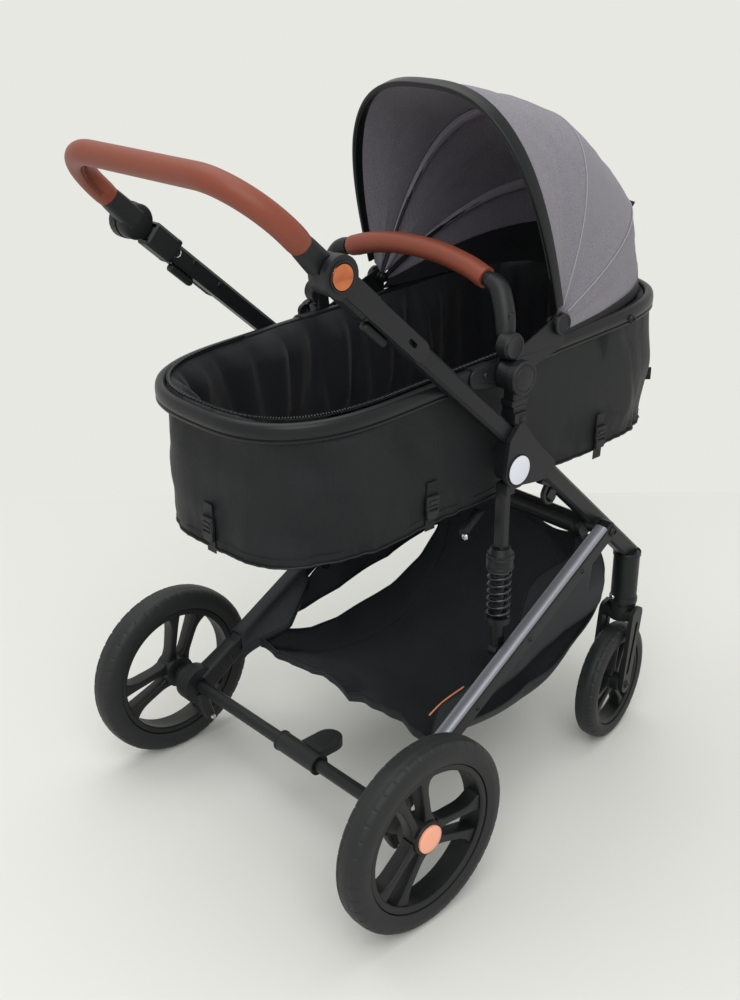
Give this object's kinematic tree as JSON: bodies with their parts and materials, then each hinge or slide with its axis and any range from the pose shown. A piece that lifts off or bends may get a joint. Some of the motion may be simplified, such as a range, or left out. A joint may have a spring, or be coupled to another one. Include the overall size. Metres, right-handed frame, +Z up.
{
  "type": "travel system pram",
  "caption": "Folding pram chassis on four wheels with a hooded carrycot, bumper bar, tilting handlebar and shopping basket.",
  "frame": {"origin": "on the ground, under the middle of the pram's length and width", "axes": "+Y the way the pram travels (the hood end), +X its right side, +Z up"},
  "size_m": [0.6106, 0.8531, 1.0488],
  "materials": {
    "frame_black": "matt black paint",
    "rail_grey": "gunmetal grey paint with a satin sheen",
    "plastic_black": "moulded black plastic",
    "tyre_rubber": "matt foam rubber",
    "wheel_black": "moulded black plastic, light satin",
    "copper": "polished copper colour",
    "orange_cap": "coral orange, satin",
    "badge_white": "off-white, blank",
    "tan_leather": "tan imitation leather, stitched on the inner side",
    "hood_fabric": "grey melange woven cloth",
    "black_fabric": "black woven nylon",
    "spring_steel": "black coated spring wire"
  },
  "bodies": {
    "chassis": {"front_leg_right": "frame_black", "front_leg_left": "frame_black", "front_crossbar": "plastic_black", "pivot_housing_right": "plastic_black", "pivot_housing_left": "plastic_black", "badge_right": "badge_white", "badge_left": "badge_white", "strut_tube_right": "frame_black", "strut_tube_left": "frame_black", "spring_right": "spring_steel", "spring_left": "spring_steel"},
    "rear_frame": {"lower_rail_right": "rail_grey", "lower_rail_left": "rail_grey", "axle_bracket_right": "plastic_black", "axle_bracket_left": "plastic_black", "rear_axle": "frame_black", "basket": "black_fabric"},
    "brake": {"brake_pedal": "plastic_black"},
    "handle_frame": {"handle_tube_right": "frame_black", "handle_tube_left": "frame_black", "handle_hinge_right": "plastic_black", "handle_hinge_left": "plastic_black"},
    "handle": {"handlebar": "frame_black", "handle_grip": "tan_leather"},
    "seat_carrier": {"seat_post_right": "plastic_black", "seat_post_left": "plastic_black"},
    "carrycot": {"seat_hub_right": "plastic_black", "seat_hub_left": "plastic_black", "carrycot_rim": "frame_black", "carrycot_body": "black_fabric", "mattress": "black_fabric", "hood_bow_rear": "plastic_black", "hood_panel_rear": "hood_fabric"},
    "bumper": {"bumper_bar": "plastic_black", "bumper_grip": "tan_leather"},
    "hood_middle": {"hood_bow_mid": "plastic_black", "hood_panel_mid": "hood_fabric"},
    "hood_front": {"hood_bow_front": "plastic_black", "hood_panel_front": "hood_fabric"},
    "rear_wheel_right": {"rear_tyre_right": "tyre_rubber", "rear_wheel_right": "wheel_black", "hub_cap_right": "orange_cap"},
    "strut_rod_right": {"strut_rod_right": "frame_black"},
    "caster_right": {"caster_fork_right": "plastic_black"},
    "front_wheel_right": {"front_tyre_right": "tyre_rubber", "front_wheel_right": "wheel_black"},
    "handle_button_right": {"handle_button_right": "copper"},
    "fold_trigger_right": {"fold_trigger_right": "plastic_black"},
    "release_button_right": {"release_button_right": "plastic_black"},
    "rear_wheel_left": {"rear_tyre_left": "tyre_rubber", "rear_wheel_left": "wheel_black", "hub_cap_left": "orange_cap"},
    "strut_rod_left": {"strut_rod_left": "frame_black"},
    "caster_left": {"caster_fork_left": "plastic_black"},
    "front_wheel_left": {"front_tyre_left": "tyre_rubber", "front_wheel_left": "wheel_black"},
    "handle_button_left": {"handle_button_left": "copper"},
    "fold_trigger_left": {"fold_trigger_left": "plastic_black"},
    "release_button_left": {"release_button_left": "plastic_black"}
  },
  "joints": [
    {"name": "suspension", "type": "hinge", "parent": "chassis", "child": "rear_frame", "pos_m": [0, 0.2185, 0.40755], "axis": [-1, 0, 0], "range_deg": [0, 5], "stiffness_Nm_per_rad": 900, "springref_deg": -6.88},
    {"name": "brake_press", "type": "hinge", "parent": "rear_frame", "child": "brake", "pos_m": [0, -0.242, 0.14], "axis": [-1, 0, 0], "range_deg": [0, 12]},
    {"name": "handle_fold", "type": "hinge", "parent": "chassis", "child": "handle_frame", "pos_m": [0, 0.008, 0.565], "axis": [1, 0, 0], "range_deg": [0, 72]},
    {"name": "handle_tilt", "type": "hinge", "parent": "handle_frame", "child": "handle", "pos_m": [0, -0.30605, 0.8832], "axis": [1, 0, 0], "range_deg": [-45, 60]},
    {"name": "seat_lift", "type": "slide", "parent": "chassis", "child": "seat_carrier", "axis": [0, 0, 1], "range_m": [0, 0.12]},
    {"name": "seat_tilt", "type": "hinge", "parent": "seat_carrier", "child": "carrycot", "pos_m": [0, 0.006, 0.695], "axis": [1, 0, 0], "range_deg": [-10, 10]},
    {"name": "bumper_swing", "type": "hinge", "parent": "carrycot", "child": "bumper", "pos_m": [0, 0.002, 0.735], "axis": [1, 0, 0], "range_deg": [-15, 45]},
    {"name": "hood_middle_fold", "type": "hinge", "parent": "carrycot", "child": "hood_middle", "pos_m": [0, 0.1155, 0.7395], "axis": [-1, 0, 0], "range_deg": [0, 32], "deforming": ["hood_panel_mid"]},
    {"name": "hood_front_fold", "type": "hinge", "parent": "hood_middle", "child": "hood_front", "pos_m": [0, 0.1155, 0.7395], "axis": [-1, 0, 0], "range_deg": [0, 25.6], "deforming": ["hood_panel_front"]},
    {"name": "rear_wheel_spin_right", "type": "hinge", "parent": "rear_frame", "child": "rear_wheel_right", "pos_m": [0.2833, -0.242, 0.14], "axis": [1, 0, 0], "continuous": true},
    {"name": "strut_right", "type": "slide", "parent": "chassis", "child": "strut_rod_right", "axis": [0, 0, 1], "range_m": [0, 0.0195], "deforming": ["spring_right"]},
    {"name": "caster_swivel_right", "type": "hinge", "parent": "chassis", "child": "caster_right", "pos_m": [0.1765, 0.326, 0.231], "axis": [0, 0, 1], "continuous": true},
    {"name": "front_wheel_spin_right", "type": "hinge", "parent": "caster_right", "child": "front_wheel_right", "pos_m": [0.18169, 0.30001, 0.0975], "axis": [0.9806, 0.1959, 0], "continuous": true},
    {"name": "handle_button_press_right", "type": "slide", "parent": "handle_frame", "child": "handle_button_right", "axis": [-1, 0, 0], "range_m": [0, 0.003], "stiffness_N_per_m": 800},
    {"name": "fold_trigger_pull_right", "type": "slide", "parent": "handle_frame", "child": "fold_trigger_right", "axis": [0, -0.7501, 0.6613], "range_m": [0, 0.006], "stiffness_N_per_m": 800},
    {"name": "release_press_right", "type": "slide", "parent": "chassis", "child": "release_button_right", "axis": [-1, 0, 0], "range_m": [0, 0.0025], "stiffness_N_per_m": 800},
    {"name": "rear_wheel_spin_left", "type": "hinge", "parent": "rear_frame", "child": "rear_wheel_left", "pos_m": [-0.2833, -0.242, 0.14], "axis": [1, 0, 0], "continuous": true},
    {"name": "strut_left", "type": "slide", "parent": "chassis", "child": "strut_rod_left", "axis": [0, 0, 1], "range_m": [0, 0.0195], "deforming": ["spring_left"]},
    {"name": "caster_swivel_left", "type": "hinge", "parent": "chassis", "child": "caster_left", "pos_m": [-0.1765, 0.326, 0.231], "axis": [0, 0, 1], "continuous": true},
    {"name": "front_wheel_spin_left", "type": "hinge", "parent": "caster_left", "child": "front_wheel_left", "pos_m": [-0.17131, 0.30001, 0.0975], "axis": [0.9806, 0.1959, 0], "continuous": true},
    {"name": "handle_button_press_left", "type": "slide", "parent": "handle_frame", "child": "handle_button_left", "axis": [1, 0, 0], "range_m": [0, 0.003], "stiffness_N_per_m": 800},
    {"name": "fold_trigger_pull_left", "type": "slide", "parent": "handle_frame", "child": "fold_trigger_left", "axis": [0, -0.7501, 0.6613], "range_m": [0, 0.006], "stiffness_N_per_m": 800},
    {"name": "release_press_left", "type": "slide", "parent": "chassis", "child": "release_button_left", "axis": [1, 0, 0], "range_m": [0, 0.0025], "stiffness_N_per_m": 800}
  ],
  "couplings": [
    {"joint": "hood_front_fold", "follows": "hood_middle_fold", "ratio": 0.8},
    {"joint": "strut_right", "follows": "suspension", "m_per_rad": 0.2165},
    {"joint": "strut_left", "follows": "suspension", "m_per_rad": 0.2165}
  ]
}
